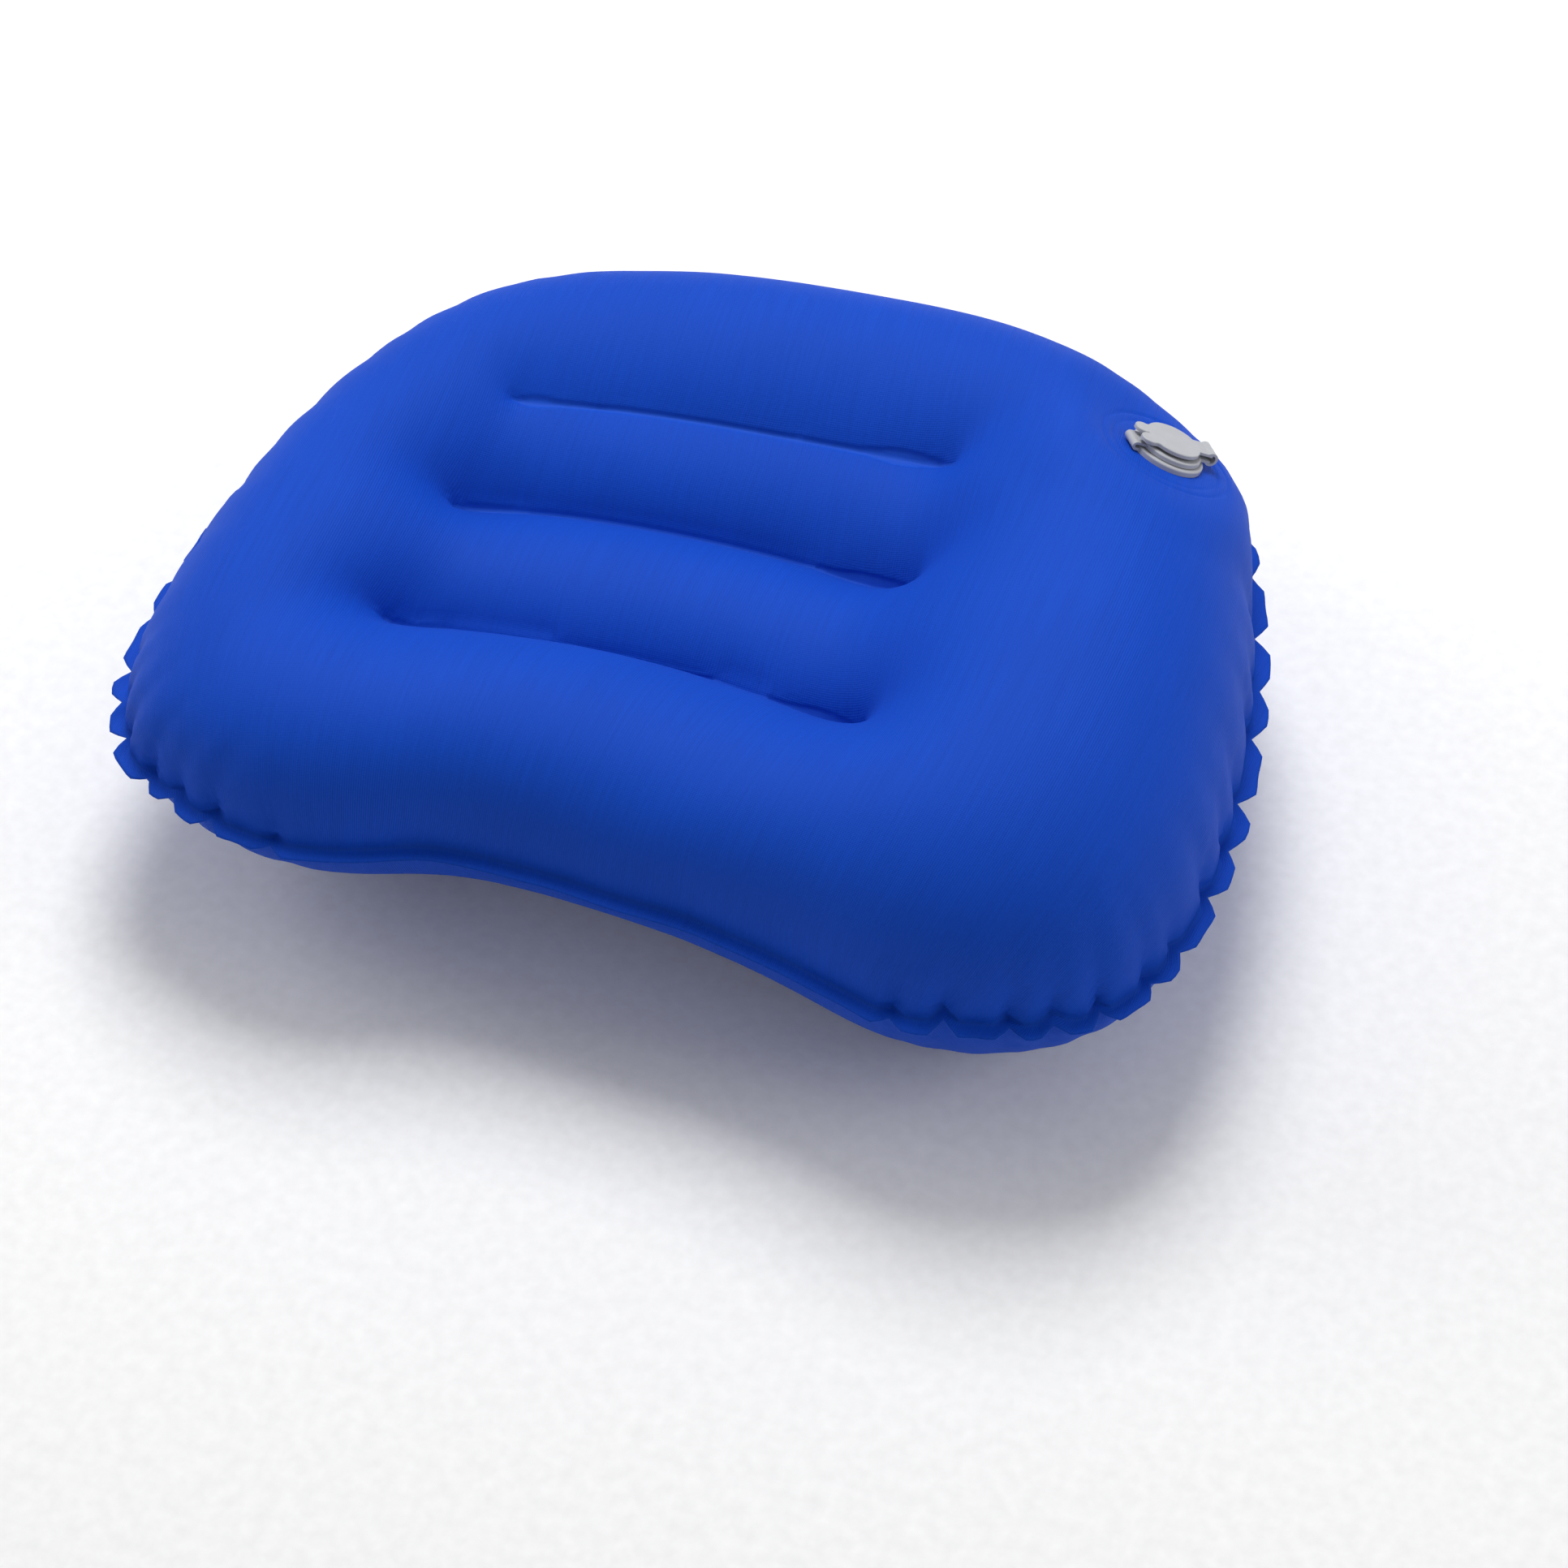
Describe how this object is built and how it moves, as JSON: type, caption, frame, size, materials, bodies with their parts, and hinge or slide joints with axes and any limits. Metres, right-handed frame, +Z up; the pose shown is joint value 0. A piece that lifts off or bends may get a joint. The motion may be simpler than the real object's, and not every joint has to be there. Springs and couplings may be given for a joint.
{
  "type": "inflatable camp pillow",
  "caption": "Inflatable camp pillow: two coated knit skins welded round the rim, with a curved neck edge, inner baffles and a two-stage air valve.",
  "frame": {"origin": "on the ground, under the middle of the pillow's bounding box", "axes": "+Z up, +Y towards the back of the pillow, -Y the curved-in neck edge, +X to the valve's side"},
  "size_m": [0.4498, 0.3303, 0.15],
  "materials": {
    "knit_laminate": "fine rib knit with a matt satin sheen, coated inside",
    "film": "milky clear film",
    "valve_plastic": "satin light grey soft moulding",
    "silicone": "smooth translucent silicone"
  },
  "bodies": {
    "pillow": {"top_panel": "knit_laminate", "bottom_panel": "knit_laminate", "front_baffle": "film", "middle_baffle": "film", "back_baffle": "film", "valve_skirt": "film", "valve_base": "valve_plastic", "plug_strap": "valve_plastic"},
    "plug": {"deflation_plug": "valve_plastic", "membrane_pin": "valve_plastic", "lid_strap": "valve_plastic"},
    "membrane": {"check_membrane": "silicone"},
    "lid": {"lid": "valve_plastic"}
  },
  "joints": [
    {"name": "plug_hinge", "type": "hinge", "parent": "pillow", "child": "plug", "pos_m": [0.13899, 0.08481, 0.14023], "axis": [0.5224, -0.8176, 0.242], "range_deg": [0, 135], "deforming": ["plug_strap"]},
    {"name": "lid_hinge", "type": "hinge", "parent": "plug", "child": "lid", "pos_m": [0.17022, 0.10032, 0.12521], "axis": [-0.5224, 0.8176, -0.242], "range_deg": [0, 160], "deforming": ["lid_strap"]},
    {"name": "membrane_lift", "type": "slide", "parent": "plug", "child": "membrane", "axis": [-0.2878, -0.4363, -0.8526], "range_m": [0, 0.0012], "stiffness_N_per_m": 20, "springref_m": -0.0015}
  ]
}
